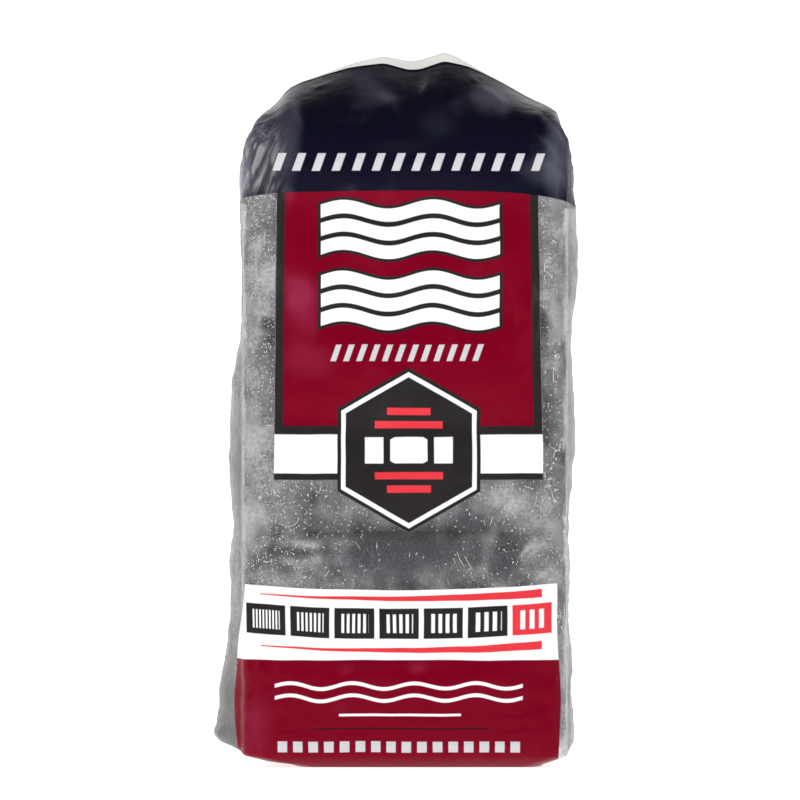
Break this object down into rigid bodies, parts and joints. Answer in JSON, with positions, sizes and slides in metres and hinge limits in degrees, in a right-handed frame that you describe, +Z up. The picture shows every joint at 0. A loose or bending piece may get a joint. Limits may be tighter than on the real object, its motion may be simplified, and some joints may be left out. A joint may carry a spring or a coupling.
{
  "type": "bag of steel wool pads",
  "caption": "Upright printed clear film bag with a sealed gabled top, holding rolled steel wool pads stacked in rows, one roll behind another.",
  "frame": {"origin": "middle of the flat base, on the surface the bag stands on", "axes": "+Z up along the bag, -Y out of the printed front, +X to the right seen from the front"},
  "size_m": [0.1524, 0.0882, 0.2987],
  "materials": {
    "printed_film": "thin hazy polyethylene film, clear where unprinted, with dark blue, crimson and white inks",
    "steel_wool": "fine grey steel fibres, dull in the mass and bright where single strands catch the light"
  },
  "bodies": {
    "root": {"film_bag": "printed_film", "wool_pad_1_front": "steel_wool", "wool_pad_1_back": "steel_wool", "wool_pad_2_front": "steel_wool", "wool_pad_2_back": "steel_wool", "wool_pad_3_front": "steel_wool", "wool_pad_3_back": "steel_wool", "wool_pad_4_front": "steel_wool", "wool_pad_4_back": "steel_wool", "wool_pad_5_front": "steel_wool", "wool_pad_5_back": "steel_wool", "wool_pad_6_front": "steel_wool", "wool_pad_6_back": "steel_wool"}
  },
  "joints": []
}
